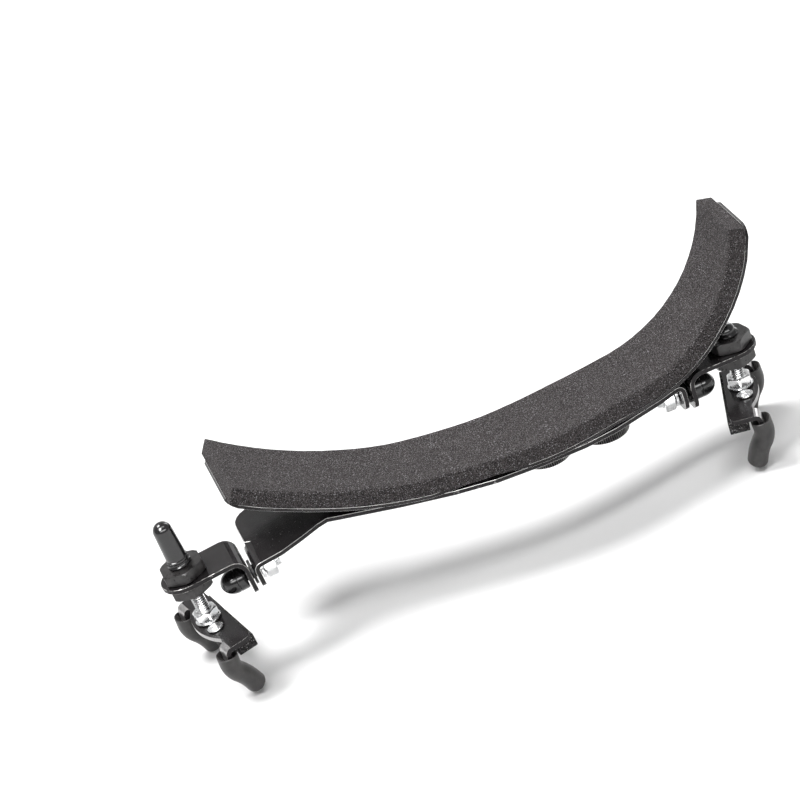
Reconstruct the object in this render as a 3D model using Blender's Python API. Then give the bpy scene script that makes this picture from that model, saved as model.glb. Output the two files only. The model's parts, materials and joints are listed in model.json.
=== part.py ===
"""Violin shoulder rest.

A foam-padded metal bar, bent to the shoulder, is clamped by two thumb nuts to a base plate.
At each end of the base plate an angle bracket tilts on a cross bolt, and carries a threaded
height screw between two large hand nuts. A forked foot on the screw's lower end grips the
violin's edge: a pad rests on the back, and two rubber-sleeved prongs reach round the edge.

Sizes are in millimetres and make_object() turns them into metres. The pieces are drawn in
the base plate's frame: x along the bar, y across it, z up, and x = y = 0 midway between the
two height screws. The whole assembly then stands level on its four prongs (see STANCE_*).
"""
import math
from collections import namedtuple

import bmesh
import bpy
from mathutils import Matrix, Vector

for item in list(bpy.data.objects):
    bpy.data.objects.remove(item, do_unlink=True)

MM = 0.001
GAP = 0.3                   # between faces that touch on the real object
CLEAR = 2.0                 # how far a cutter reaches past what it cuts
SHEET = 1.6                 # thickness of the base plate, brackets and forks
SCREW_X = 99.7              # height screws, from the middle
PLATE_TOP = 22.6            # base plate's upper face
PLATE_BOTTOM = PLATE_TOP - SHEET

# Padded bar
BAR_BOTTOM = PLATE_TOP + GAP
BAR_SHEET = 1.2
BAR_TOP = BAR_BOTTOM + BAR_SHEET
FOAM_BOTTOM = BAR_TOP + GAP
FOAM_THICK = 5.6
FOAM_EDGE = 0.4             # chamfer along the foam's upper edges
BAR_CORNER = 6.0            # corner radius of the bar's plate
LEFT_BEND_X = -11.4         # the bar is flat from here ...
RIGHT_BEND_X = 61.8         # ... to here
LEFT_BEND_R = 133.0
RIGHT_BEND_R = 56.5
# The bar's front and back edges on the flat blank: distance along the blank, offset across it
BAR_ENDS = (-82.5, 136.5)
BAR_FRONT = ((-82.5, 0.6), (-61, -1.6), (-35, -8.2), (0, -17.4), (29, -20.6), (60, -14.2),
             (80, -10.6), (104, -6.2), (136.5, -2.8))
BAR_BACK = ((-82.5, 42.6), (-43, 28.6), (-15, 19.0), (13, 13.4), (43, 16.2), (72, 21.6),
            (100, 25.0), (136.5, 28.6))
BAR_STEP = 5.6
WAIST = (3.0, 3.0, 16.0)    # the plate's front edge is set back: depth, middle, half length

# Studs and thumb nuts that clamp the bar to the base plate
STUD_X = (28.0, 49.6)
STUD_Y = -1.1
STUD_HEAD_R = 4.6
STUD_HEAD_THICK = 1.2
THREAD_R = 2.4
HOLE_R = THREAD_R + GAP
THUMB_WASHER_R = 6.8
WASHER_THICK = 1.0
THUMB_NUT_R = 8.5
THUMB_NUT_THICK = 6.0
SLOT_ENDS = (STUD_X[0] - 13.0, STUD_X[1] + 4.6)

# Tilt joint between base plate and bracket; u is measured outwards from the height screw
TAB_HALF = 8.3
TAB_BELOW_HINGE = 4.0
TAB_CORNER = 4.6
TAB_FACE = -21.0            # tab's outer face
FOLD_R = 1.0                # inner radius of the tab's fold
FOLD_X = SCREW_X + TAB_FACE - SHEET - FOLD_R     # the fold's centre
FOLD_Z = PLATE_BOTTOM - FOLD_R
ARM_FACE = TAB_FACE + GAP + WASHER_THICK + GAP   # bracket arm's inward face
WASHER_R = 3.9
OUTER_WASHER_R = 4.4
SMALL_NUT_FLATS = 8.0
SMALL_NUT_THICK = 4.1
CAP_NUT_R = 4.3
CAP_NUT_LENGTH = 9.0
CAP_NUT_DOME = 5.0
CAP_NUT_BORE = 6.6          # the domed nut's blind bore
BOLT_PAST_NUT = 2.0
TIP_GAP = 0.6               # between a screw's tip and the end of a blind bore
HEX_CHAMFER = 0.7

# Angle bracket
BRACKET_HALF = 9.0
BRACKET_BEND_R = 3.4        # inner radius

# Height screw's nuts and cap
HAND_NUT_FLATS = 14.0
HAND_NUT_THICK = 4.0
CAP_R = 3.3
CAP_BORE_R = THREAD_R + 0.35
CAP_ROOF = 1.5

# Fork: u outwards from the screw, v along the violin's edge, z = 0 at the plate's upper face
FORK_INNER = -5.8
FORK_ROOT = 2.4             # where the prongs leave the plate
FORK_ENDS = (-23.7, 19.5)
FORK_CORNER = 2.6
FORK_BULGE = 3.4            # how far the outer edge bulges past the prong roots
FORK_BULGE_HALF = 13.2
PRONG_WIDTH = 6.0
PRONG_PATH = ((2.4, -85), (4.0, 0), (5.0, -42), (6.0, 18), (2.4, 0))   # length, turn
PRONG_CUT = 2.6             # the prong ends this far short of its sleeve's end
SLEEVE_HALF = (4.4, 3.5)    # along the violin's edge, across it
SLEEVE_START = 3.4          # distance along the prong where the sleeve begins
SLEEVE_BORE = (PRONG_WIDTH / 2 + 0.45, SHEET / 2 + 0.45)
SLEEVE_SIDES = 12
SCREW_HEAD_R = 4.0
SCREW_HEAD_THICK = 1.8
PAD_INNER = -6.8
PAD_OUTER = (-0.2, 2.6)     # beside the prongs, and between them
PAD_V = (-20.6, 16.4)
PAD_WIDE_V = (-12.0, 8.0)   # where the pad is at its widest
PAD_SLOPE = 1.5
PAD_THICK = 4.4
RIVET_SPOT = (0.8, -7.8)
RIVET_R = 1.3
RIVET_HEAD_R = 2.8
RIVET_HEAD_THICK = 0.5
RIVET_BELOW = 3.4           # how far it reaches into the pad

# Each end: its side, the tilt axis's height, how far the tab is folded past square, the heights
# of the bracket's top, the fork's top and the screw's tip from the tilt axis, the cap's length,
# the fork's turn
End = namedtuple("End", "side name hinge_z lean arm_z fork_z screw_tip cap_length turn")
LEFT = End(-1, "left", 16.4, 5.5, 11.0, -8.4, 21.3, 17.0, 11.0)
RIGHT = End(1, "right", 15.8, 0.0, 9.8, -6.3, 14.8, 4.0, -17.0)

# The assembly leans so that both forks stand on one floor, at the middle of its outline
STANCE_TILT = math.radians(1.05)
STANCE_SHIFT = (-4.48, -8.55, 12.8)

MATERIALS = {}


def add_material(name, colour, roughness, metallic):
    material = bpy.data.materials.new(name)
    material.use_nodes = True
    shader = material.node_tree.nodes["Principled BSDF"]
    shader.inputs["Base Color"].default_value = (*colour, 1.0)
    shader.inputs["Roughness"].default_value = roughness
    shader.inputs["Metallic"].default_value = metallic
    material.diffuse_color = (*colour, 1.0)
    MATERIALS[name] = material


def make_materials():
    add_material("black_paint", (0.020, 0.018, 0.020), 0.30, 0.0)
    add_material("foam", (0.045, 0.044, 0.047), 0.95, 0.0)
    add_material("zinc", (0.72, 0.73, 0.75), 0.25, 1.0)
    add_material("black_plastic", (0.035, 0.032, 0.034), 0.45, 0.0)
    add_material("gloss_black", (0.012, 0.011, 0.012), 0.12, 0.0)
    add_material("rubber", (0.060, 0.058, 0.058), 0.70, 0.0)
    add_material("foot_foam", (0.030, 0.030, 0.032), 0.90, 0.0)


def make_empty(name, parent, at=(0, 0, 0), turn=(0, 0, 0)):
    """A frame for one moving body, standing on its joint's axis."""
    empty = bpy.data.objects.new(name, None)
    bpy.context.collection.objects.link(empty)
    empty.parent = parent
    empty.location = Vector(at) * MM
    empty.rotation_euler = turn
    return empty


def make_object(name, bm, material, parent, at=(0, 0, 0), side=1, crease=32):
    """Name a drawn shape, mirror it for the left side, and put it under its body."""
    bmesh.ops.scale(bm, vec=(side * MM, MM, MM), verts=bm.verts)
    bmesh.ops.recalc_face_normals(bm, faces=bm.faces)
    mesh = bpy.data.meshes.new(name)
    bm.to_mesh(mesh)
    bm.free()
    mesh.shade_smooth()
    mesh.set_sharp_from_angle(angle=math.radians(crease))
    mesh.materials.append(MATERIALS[material])
    obj = bpy.data.objects.new(name, mesh)
    bpy.context.collection.objects.link(obj)
    obj.parent = parent
    obj.location = Vector(at) * MM
    return obj


def cut(obj, name, bm, at=(0, 0, 0), side=1):
    """Cut a drawn shape out of an object, in the object's own frame."""
    cutter = make_object(name, bm, "black_paint", obj, at, side)
    cutter.hide_render = True
    cutter.display_type = "WIRE"
    boolean = obj.modifiers.new(name, "BOOLEAN")
    boolean.operation = "DIFFERENCE"
    boolean.solver = "EXACT"
    boolean.object = cutter
    return cutter


def loft(rings, closed=False):
    """Skin a row of rings; a closed row comes back to its first ring, as round a bore."""
    bm = bmesh.new()
    levels = [[bm.verts.new(point) for point in ring] for ring in rings]
    pairs = list(zip(levels, levels[1:]))
    if closed:
        pairs.append((levels[-1], levels[0]))
    else:
        bm.faces.new(levels[0])
        bm.faces.new(levels[-1])
    for low, high in pairs:
        for i in range(len(low)):
            j = (i + 1) % len(low)
            bm.faces.new((low[i], low[j], high[j], high[i]))
    return bm


def circle(radius, height, sides=24):
    turns = (2 * math.pi * i / sides for i in range(sides))
    return [(radius * math.cos(a), radius * math.sin(a), height) for a in turns]


def turned(profile, sides=24, closed=False):
    """A lathe-turned piece about z, from (radius, height) pairs."""
    return loft([circle(radius, height, sides) for radius, height in profile], closed)


def hexagon(flats, limit, height, sides=24):
    """A ring on a hexagon, cut back to a circle of the limit radius at its corners."""
    ring = []
    for i in range(sides):
        angle = 2 * math.pi * i / sides
        from_flat = (angle + math.pi / 6) % (math.pi / 3) - math.pi / 6
        radius = min(flats / 2 / math.cos(from_flat), limit)
        ring.append((radius * math.cos(angle), radius * math.sin(angle), height))
    return ring


def hex_nut(flats, thick, bore):
    """A hexagon nut standing on z = 0, with chamfered corners and a plain bore."""
    face = flats / 2
    return loft([circle(bore, 0), hexagon(flats, face, 0), hexagon(flats, flats, HEX_CHAMFER),
                 hexagon(flats, flats, thick - HEX_CHAMFER), hexagon(flats, face, thick),
                 circle(bore, thick)], closed=True)


def washer(outer, thick, bore):
    return turned([(bore, 0), (outer, 0), (outer, thick), (bore, thick)], closed=True)


def lay_along_x(bm):
    """Turn a piece drawn along +z so that it points along +x."""
    for vert in bm.verts:
        x, y, z = vert.co
        vert.co = (z, y, -x)
    return bm


def prism(outline, bottom, top):
    """A straight-sided block from an outline in the xy plane."""
    return loft([[(x, y, z) for x, y in outline] for z in (bottom, top)])


def arc(centre, radius, start, end, steps):
    """Points on an arc, angles in degrees."""
    angles = (math.radians(start + (end - start) * i / steps) for i in range(steps + 1))
    return [(centre[0] + radius * math.cos(a), centre[1] + radius * math.sin(a)) for a in angles]


def walk(start, heading, moves, step_turn=16):
    """Follow straight runs and arcs in an upright plane: (out, z, heading, distance) rows."""
    out, z = start
    travelled = 0.0
    rows = [(out, z, heading, travelled)]
    for length, turn in moves:
        count = max(1, round(abs(turn) / step_turn))
        for _ in range(count):
            middle = math.radians(heading + turn / count / 2)
            out += length / count * math.cos(middle)
            z += length / count * math.sin(middle)
            heading += turn / count
            travelled += length / count
            rows.append((out, z, heading, travelled))
    return rows


def tab_rings(start, end, rows):
    """Cross sections of a strip bent from a plate's edge; a row is (out, z, heading, half width)."""
    start, end = Vector(start), Vector(end)
    along = (end - start).normalized()
    outward = Vector((along.y, -along.x))
    centre = (start + end) / 2
    rings = []
    for out, z, heading, half in rows:
        angle = math.radians(heading)
        lean = -math.sin(angle) * SHEET / 2
        rise = math.cos(angle) * SHEET / 2
        ring = []
        for sign, side in ((1, -1), (1, 1), (-1, 1), (-1, -1)):
            spot = centre + outward * (out + sign * lean) + along * (side * half)
            ring.append((spot.x, spot.y, z + sign * rise))
        rings.append(ring)
    return rings


def sheet(outline, top, tabs):
    """A plate drawn anticlockwise, with strips bent from the edges that tabs names by index."""
    bm = bmesh.new()
    upper = [bm.verts.new((x, y, top)) for x, y in outline]
    lower = [bm.verts.new((x, y, top - SHEET)) for x, y in outline]
    bm.faces.new(upper)
    bm.faces.new(lower)
    for i in range(len(outline)):
        j = (i + 1) % len(outline)
        root = (upper[i], upper[j], lower[j], lower[i])
        for ring in tabs.get(i, ()):
            tip = [bm.verts.new(point) for point in ring]
            for k in range(4):
                m = (k + 1) % 4
                bm.faces.new((root[k], root[m], tip[m], tip[k]))
            root = tip
        bm.faces.new(root)
    return bm


def folded_down(top, fold_radius, half, bottom, corner, lean=0.0):
    """Rows for a strip folded down by 90 degrees and a lean, with rounded corners at its end.

    The bottom is the strip's end as it would lie without the lean.
    """
    middle = fold_radius + SHEET / 2
    centre_z = top - SHEET / 2 - middle
    fold = 90 + lean
    rows = []
    for i in range(1, 6):
        angle = math.radians(fold * i / 5)
        rows.append((middle * math.sin(angle), centre_z + middle * math.cos(angle),
                     -fold * i / 5, half))
    tilt = math.radians(lean)
    for i in range(6):
        angle = math.radians(80 * i / 5)
        down = centre_z - (bottom + corner - corner * math.sin(angle))
        rows.append((middle * math.cos(tilt) - down * math.sin(tilt),
                     centre_z - middle * math.sin(tilt) - down * math.cos(tilt), -fold,
                     half - corner * (1 - math.cos(angle))))
    return rows


def smooth_line(stations, x):
    """A smooth curve through the stations (x, y): its height and slope at x."""
    last = len(stations) - 1
    slopes = []
    for i in range(last + 1):
        before = stations[max(i - 1, 0)]
        after = stations[min(i + 1, last)]
        slopes.append((after[1] - before[1]) / (after[0] - before[0]))
    k = 0
    while k < last - 1 and x > stations[k + 1][0]:
        k += 1
    (x0, y0), (x1, y1) = stations[k], stations[k + 1]
    span = x1 - x0
    t = (x - x0) / span
    y = ((2 * t ** 3 - 3 * t ** 2 + 1) * y0 + (t ** 3 - 2 * t ** 2 + t) * span * slopes[k]
         + (3 * t ** 2 - 2 * t ** 3) * y1 + (t ** 3 - t ** 2) * span * slopes[k + 1])
    slope = ((6 * t ** 2 - 6 * t) * (y0 - y1) / span + (3 * t ** 2 - 4 * t + 1) * slopes[k]
             + (3 * t ** 2 - 2 * t) * slopes[k + 1])
    return y, slope


def on_bar(along, across, lift):
    """A point of the bent bar: distance along the blank, offset across it, height above it."""
    if along < LEFT_BEND_X:
        angle = (along - LEFT_BEND_X) / LEFT_BEND_R
        bend_x, radius = LEFT_BEND_X, LEFT_BEND_R
    elif along > RIGHT_BEND_X:
        angle = (along - RIGHT_BEND_X) / RIGHT_BEND_R
        bend_x, radius = RIGHT_BEND_X, RIGHT_BEND_R
    else:
        return along, across, BAR_BOTTOM + lift
    reach = radius - lift
    return bend_x + reach * math.sin(angle), across, BAR_BOTTOM + radius - reach * math.cos(angle)


def bar_stations(step):
    first, last = BAR_ENDS
    count = round((last - first) / step)
    return [first + (last - first) * i / count for i in range(count + 1)]


def across_bar(along, near_inset, far_inset):
    """The blank's front and back edge points, each set in by a distance."""
    near, _ = smooth_line(BAR_FRONT, along)
    far, _ = smooth_line(BAR_BACK, along)
    return (along, near + near_inset), (along, far - far_inset)


def top_plate_bm():
    """The bar's plate: bent, with rounded corners and its front edge set back at the waist."""
    stations = bar_stations(BAR_STEP)
    first, last = BAR_ENDS
    ends = [BAR_CORNER * (1 - math.cos(math.radians(a))) for a in (6, 25, 45, 65)]
    middle = [s for s in stations if first + BAR_CORNER < s < last - BAR_CORNER]
    stations = [first + e for e in ends] + middle + [last - e for e in reversed(ends)]
    depth, waist, reach = WAIST
    rings = []
    for s in stations:
        inside = min(s - first, last - s, BAR_CORNER)
        round_off = BAR_CORNER - math.sqrt(BAR_CORNER ** 2 - (BAR_CORNER - inside) ** 2)
        notch = depth * max(0.0, 1 - ((s - waist) / reach) ** 2)
        near, far = across_bar(s, round_off + notch, round_off)
        rings.append([on_bar(*near, 0), on_bar(*far, 0), on_bar(*far, BAR_SHEET),
                      on_bar(*near, BAR_SHEET)])
    return loft(rings)


def foam_bm():
    """The foam slab, lying on the bar's plate and cut square at its ends."""
    low = FOAM_BOTTOM - BAR_BOTTOM
    high = low + FOAM_THICK
    rings = []
    for s in bar_stations(BAR_STEP):
        near, far = across_bar(s, 0, 0)
        near_in, far_in = across_bar(s, FOAM_EDGE, FOAM_EDGE)
        rings.append([on_bar(*near, low), on_bar(*far, low), on_bar(*far, high - FOAM_EDGE),
                      on_bar(*far_in, high), on_bar(*near_in, high),
                      on_bar(*near, high - FOAM_EDGE)])
    return loft(rings)


def base_plate_bm():
    """The plate under the bar: waisted, flared at its left end, with a hinge tab at each end."""
    edge = FOLD_X
    shoulder = edge + 1.6
    outline = [(-edge, -TAB_HALF), (-68, -6.4), (-60, -2.6), (-53, 1.2)]
    outline += [(-49.5, 2.4), (-46, 0.8), (-25, -8.2), (-8, -14.4), (6, -18.0), (22, -19.3)]
    outline += [(38, -19.4), (50, -17.6), (61, -14.0), (69, -11.4), (edge, -TAB_HALF)]
    right_tab = len(outline) - 1
    outline += [(edge, TAB_HALF), (68, 11.0), (50, 11.6), (25, 10.6), (0, 12.6), (-20, 17.4)]
    outline += [(-45, 26.6), (-60, 31.6)]
    outline += arc((shoulder * -1 + 9.5, 22.5), 9.5, 100, 180, 5)
    outline += [(-shoulder, TAB_HALF + 0.8), (-edge, TAB_HALF)]
    left_tab = len(outline) - 1
    tabs = {}
    for end, i in ((RIGHT, right_tab), (LEFT, left_tab)):
        rows = folded_down(PLATE_TOP, FOLD_R, TAB_HALF, end.hinge_z - TAB_BELOW_HINGE,
                           TAB_CORNER, end.lean)
        tabs[i] = tab_rings(outline[i], outline[(i + 1) % len(outline)], rows)
    return sheet(outline, PLATE_TOP, tabs)


def bracket_bm(arm_z):
    """The angle bracket, relative to the hinge axis below its height screw."""
    bend_u = ARM_FACE + SHEET + BRACKET_BEND_R
    outline = arc((0, 0), BRACKET_HALF, -90, 90, 12)
    outline += [(bend_u, BRACKET_HALF), (bend_u, -BRACKET_HALF)]
    fold = len(outline) - 2
    rows = folded_down(arm_z, BRACKET_BEND_R, BRACKET_HALF, -TAB_BELOW_HINGE - 0.4, TAB_CORNER)
    return sheet(outline, arm_z, {fold: tab_rings(outline[fold], outline[fold + 1], rows)})


def prong_roots():
    return ((FORK_ENDS[0], FORK_ENDS[0] + PRONG_WIDTH), (FORK_ENDS[1] - PRONG_WIDTH, FORK_ENDS[1]))


def fork_bm():
    """The fork plate with its two bent prongs, drawn about the height screw."""
    near, far = FORK_ENDS
    middle = (near + far) / 2
    r = FORK_CORNER
    outline = arc((FORK_INNER + r, far - r), r, 90, 180, 3)
    outline += arc((FORK_INNER + r, near + r), r, 180, 270, 3)
    outline += [(FORK_ROOT, near)]
    near_prong = len(outline) - 1
    outline += [(FORK_ROOT, near + PRONG_WIDTH), (FORK_ROOT - 0.4, near + PRONG_WIDTH + 1.2)]
    bulge_r = (FORK_BULGE_HALF ** 2 + FORK_BULGE ** 2) / (2 * FORK_BULGE)
    sweep = math.degrees(math.asin(FORK_BULGE_HALF / bulge_r))
    outline += arc((FORK_ROOT + FORK_BULGE - bulge_r, middle), bulge_r, -sweep, sweep, 10)
    outline += [(FORK_ROOT - 0.4, far - PRONG_WIDTH - 1.2), (FORK_ROOT, far - PRONG_WIDTH)]
    far_prong = len(outline) - 1
    outline += [(FORK_ROOT, far)]
    path = walk((0, -SHEET / 2), 0, PRONG_PATH)    # from the root, down and back under the edge
    end = path[-1][3] - PRONG_CUT
    rows = [(out, z, heading, PRONG_WIDTH / 2) for out, z, heading, s in path[1:] if s < end]
    tabs = {i: tab_rings(outline[i], outline[i + 1], rows) for i in (near_prong, far_prong)}
    return sheet(outline, 0, tabs)


def foot_pad_bm(top):
    """The pad under the fork plate, wider between the prongs than beside them."""
    (v0, v1), (wide0, wide1), (slim, wide) = PAD_V, PAD_WIDE_V, PAD_OUTER
    outline = [(PAD_INNER, v0), (slim, v0), (slim, wide0 - PAD_SLOPE), (wide, wide0),
               (wide, wide1), (slim, wide1 + PAD_SLOPE), (slim, v1), (PAD_INNER, v1)]
    return prism(outline, top - PAD_THICK, top)


def sleeve_ring(out, z, heading, half_along, half_across, squareness):
    """A ring round the prong's path: 2 is an ellipse, more is squarer."""
    angle = math.radians(heading)
    ring = []
    for i in range(SLEEVE_SIDES):
        turn = 2 * math.pi * (i + 0.5) / SLEEVE_SIDES
        c, s = math.cos(turn), math.sin(turn)
        scale = (abs(c) ** squareness + abs(s) ** squareness) ** (-1 / squareness)
        across = half_across * s * scale
        ring.append((out - across * math.sin(angle), half_along * c * scale,
                     z + across * math.cos(angle)))
    return ring


def sleeve_bm():
    """A rubber tube pushed over a prong, closed at its lower end, about the prong's root."""
    along, across = SLEEVE_HALF
    path = [row for row in walk((0, -SHEET / 2), 0, PRONG_PATH) if row[3] > SLEEVE_START - 0.5]
    outer = [sleeve_ring(out, z, heading, along, across, 2) for out, z, heading, _ in path]
    tip_out, tip_z, tip_heading, length = path[-1]
    tip = math.radians(tip_heading)
    cap = sleeve_ring(tip_out + 0.8 * math.cos(tip), tip_z + 0.8 * math.sin(tip), tip_heading,
                      along - 1.0, across - 1.0, 2)
    inner = [sleeve_ring(out, z, heading, *SLEEVE_BORE, 6)
             for out, z, heading, s in path if s < length - PRONG_CUT + 0.6]
    return loft([cap] + outer[::-1] + inner)


def cap_bm(height):
    """A soft screw cap: two collar rings, a round shank and a domed top over a blind bore."""
    dome = min(CAP_R, height - 1.2)
    base = height - dome
    profile = [(CAP_BORE_R, height - CAP_ROOF), (CAP_BORE_R, 0), (CAP_R + 0.4, 0),
               (CAP_R + 0.4, 0.6), (CAP_R, 0.9), (CAP_R, base)]
    profile += [(CAP_R * math.cos(math.radians(a)), base + dome * math.sin(math.radians(a)))
                for a in (25, 50, 72, 85)]
    return turned(profile, sides=20)


def cap_nut_bm():
    """The domed nut on the tilt bolt, from its seat outwards along +z."""
    base = CAP_NUT_LENGTH - CAP_NUT_DOME
    profile = [(HOLE_R, CAP_NUT_BORE), (HOLE_R, 0), (CAP_NUT_R, 0), (CAP_NUT_R, base)]
    profile += [(CAP_NUT_R * math.cos(math.radians(a)),
                 base + CAP_NUT_DOME * math.sin(math.radians(a))) for a in (20, 40, 60, 76, 86)]
    return turned(profile)


def make_bar(frame):
    """The padded bar, its two studs and their washers."""
    plate = make_object("top_plate", top_plate_bm(), "black_paint", frame)
    foam = make_object("foam_pad", foam_bm(), "foam", frame)
    for number, x in enumerate(STUD_X, 1):
        spot = (x, STUD_Y, 0)
        hole = turned([(HOLE_R, BAR_BOTTOM - CLEAR), (HOLE_R, BAR_TOP + CLEAR)])
        cut(plate, f"stud_hole_{number}", hole, spot)
        pocket = turned([(STUD_HEAD_R + GAP, FOAM_BOTTOM - CLEAR),
                         (STUD_HEAD_R + GAP, FOAM_BOTTOM + STUD_HEAD_THICK + GAP)])
        cut(foam, f"stud_pocket_{number}", pocket, spot)
        nut_z = PLATE_BOTTOM - GAP - WASHER_THICK - GAP - THUMB_NUT_THICK
        shank = [(THREAD_R, nut_z + 0.2), (THREAD_R, FOAM_BOTTOM), (STUD_HEAD_R, FOAM_BOTTOM),
                 (STUD_HEAD_R, FOAM_BOTTOM + STUD_HEAD_THICK)]
        make_object(f"clamp_stud_{number}", turned(shank), "zinc", frame, spot)
        ring = washer(THUMB_WASHER_R, WASHER_THICK, HOLE_R)
        make_object(f"thumb_washer_{number}", ring, "zinc", frame,
                    (x, STUD_Y, PLATE_BOTTOM - GAP - WASHER_THICK))
        nut_frame = make_empty(f"thumb_nut_{number}_turn", frame, (x, STUD_Y, nut_z))
        edge = 0.6
        nut = turned([(HOLE_R, 0), (THUMB_NUT_R - edge, 0), (THUMB_NUT_R, edge),
                      (THUMB_NUT_R, THUMB_NUT_THICK - edge), (THUMB_NUT_R - edge, THUMB_NUT_THICK),
                      (HOLE_R, THUMB_NUT_THICK)], sides=36, closed=True)
        make_object(f"thumb_nut_{number}", nut, "black_plastic", nut_frame)


def make_base(frame, ends):
    """The base plate, slotted for the studs and bored for the two tilt bolts."""
    plate = make_object("base_plate", base_plate_bm(), "black_paint", frame)
    low, high = SLOT_ENDS
    slot = arc((low + HOLE_R, STUD_Y), HOLE_R, 90, 270, 8)
    slot += arc((high - HOLE_R, STUD_Y), HOLE_R, -90, 90, 8)
    cut(plate, "clamp_slot", prism(slot, PLATE_BOTTOM - CLEAR, PLATE_TOP + CLEAR))
    for end, end_frame in ends:
        hole = lay_along_x(turned([(HOLE_R, -SHEET - CLEAR), (HOLE_R, SHEET + CLEAR)]))
        cutter = cut(plate, f"{end.name}_tilt_hole", hole,
                     (end.side * (SCREW_X + TAB_FACE), 0, end.hinge_z), end.side)
        cutter.parent = end_frame


def make_end_frame(end, base):
    """The frame of one end: turned about the fold's centre, as the hinge tab leans."""
    turn = Matrix.Rotation(end.side * math.radians(end.lean), 3, "Y")
    pivot = Vector((end.side * FOLD_X, 0, FOLD_Z))
    return make_empty(f"{end.name}_end", base, pivot - turn @ pivot, turn.to_euler())


def make_tilt_joint(end, frame):
    """The bolt across the hinge tab with its washers, nut and domed nut."""
    def put(piece, bm, material, u):
        make_object(f"{end.name}_{piece}", lay_along_x(bm), material, frame,
                    (end.side * (SCREW_X + u), 0, end.hinge_z), end.side)

    inner_washer = TAB_FACE - SHEET - GAP - WASHER_THICK
    nut = inner_washer - GAP - SMALL_NUT_THICK
    seat = ARM_FACE + SHEET + GAP
    bolt_start = nut - BOLT_PAST_NUT
    bolt_end = seat + CAP_NUT_BORE - TIP_GAP
    put("tilt_bolt", turned([(THREAD_R, 0), (THREAD_R, bolt_end - bolt_start)]), "zinc", bolt_start)
    put("tilt_nut", hex_nut(SMALL_NUT_FLATS, SMALL_NUT_THICK, HOLE_R), "zinc", nut)
    put("tilt_washer_inner", washer(WASHER_R, WASHER_THICK, HOLE_R), "zinc", inner_washer)
    put("tilt_washer_outer", washer(OUTER_WASHER_R, WASHER_THICK, HOLE_R), "black_plastic",
        TAB_FACE + GAP)
    put("tilt_cap_nut", cap_nut_bm(), "gloss_black", seat)


def make_height_adjuster(end, tilt):
    """The bracket and the two hand nuts that hold it on its screw, and the cap above them."""
    bracket = make_object(f"{end.name}_bracket", bracket_bm(end.arm_z), "black_paint", tilt,
                          side=end.side)
    hole = turned([(HOLE_R, end.arm_z - SHEET - CLEAR), (HOLE_R, end.arm_z + CLEAR)])
    cut(bracket, f"{end.name}_screw_hole", hole)
    bolt_hole = lay_along_x(turned([(HOLE_R, -SHEET - CLEAR), (HOLE_R, SHEET + CLEAR)]))
    cut(bracket, f"{end.name}_bolt_hole", bolt_hole, (end.side * ARM_FACE, 0, 0), end.side)
    lower_nut_z = end.arm_z - SHEET - GAP - HAND_NUT_THICK
    for piece, z in (("lower_hand_nut", lower_nut_z), ("upper_hand_nut", end.arm_z + GAP)):
        nut_frame = make_empty(f"{end.name}_{piece}_turn", tilt, (0, 0, z))
        nut = hex_nut(HAND_NUT_FLATS, HAND_NUT_THICK, HOLE_R)
        make_object(f"{end.name}_{piece}", nut, "black_plastic", nut_frame)
    make_object(f"{end.name}_screw_cap", cap_bm(end.cap_length), "gloss_black", nut_frame,
                (0, 0, HAND_NUT_THICK + GAP))


def make_fork(end, screw_frame):
    """The height screw and its lock nut, and the fork that swivels on them."""
    head_top = -SHEET - GAP
    tip = end.screw_tip - end.fork_z
    screw = turned([(SCREW_HEAD_R, head_top - SCREW_HEAD_THICK), (SCREW_HEAD_R, head_top),
                    (THREAD_R, head_top), (THREAD_R, tip - 0.6), (THREAD_R - 0.6, tip)])
    make_object(f"{end.name}_height_screw", screw, "zinc", screw_frame)
    lock_nut = hex_nut(SMALL_NUT_FLATS, SMALL_NUT_THICK, HOLE_R)
    make_object(f"{end.name}_lock_nut", lock_nut, "zinc", screw_frame, (0, 0, GAP))
    frame = make_empty(f"{end.name}_fork_swivel", screw_frame, turn=(0, 0, math.radians(end.turn)))
    fork = make_object(f"{end.name}_fork", fork_bm(), "black_paint", frame, side=end.side)
    cut(fork, f"{end.name}_fork_hole", turned([(HOLE_R, -SHEET - CLEAR), (HOLE_R, CLEAR)]))
    rivet_u, rivet_v = RIVET_SPOT
    rivet_spot = (end.side * rivet_u, rivet_v, 0)
    bore = RIVET_R + GAP
    cut(fork, f"{end.name}_rivet_hole", turned([(bore, -SHEET - CLEAR), (bore, CLEAR)]), rivet_spot)
    pad = make_object(f"{end.name}_foot_pad", foot_pad_bm(head_top), "foot_foam", frame,
                      side=end.side)
    pocket_r = SCREW_HEAD_R + GAP
    cut(pad, f"{end.name}_head_pocket", turned([(pocket_r, head_top - PAD_THICK - CLEAR),
                                                (pocket_r, head_top + CLEAR)]))
    cut(pad, f"{end.name}_rivet_pocket", turned([(bore, head_top - RIVET_BELOW),
                                                 (bore, head_top + CLEAR)]), rivet_spot)
    rivet = turned([(RIVET_R, head_top + GAP - RIVET_BELOW), (RIVET_R, GAP), (RIVET_HEAD_R, GAP),
                    (RIVET_HEAD_R, GAP + RIVET_HEAD_THICK / 2),
                    (RIVET_HEAD_R - 0.4, GAP + RIVET_HEAD_THICK)])
    make_object(f"{end.name}_pad_rivet", rivet, "zinc", frame, rivet_spot)
    for place, root in zip(("near", "far"), prong_roots()):
        make_object(f"{end.name}_sleeve_{place}", sleeve_bm(), "rubber", frame,
                    (end.side * FORK_ROOT, sum(root) / 2, 0), end.side)


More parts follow.
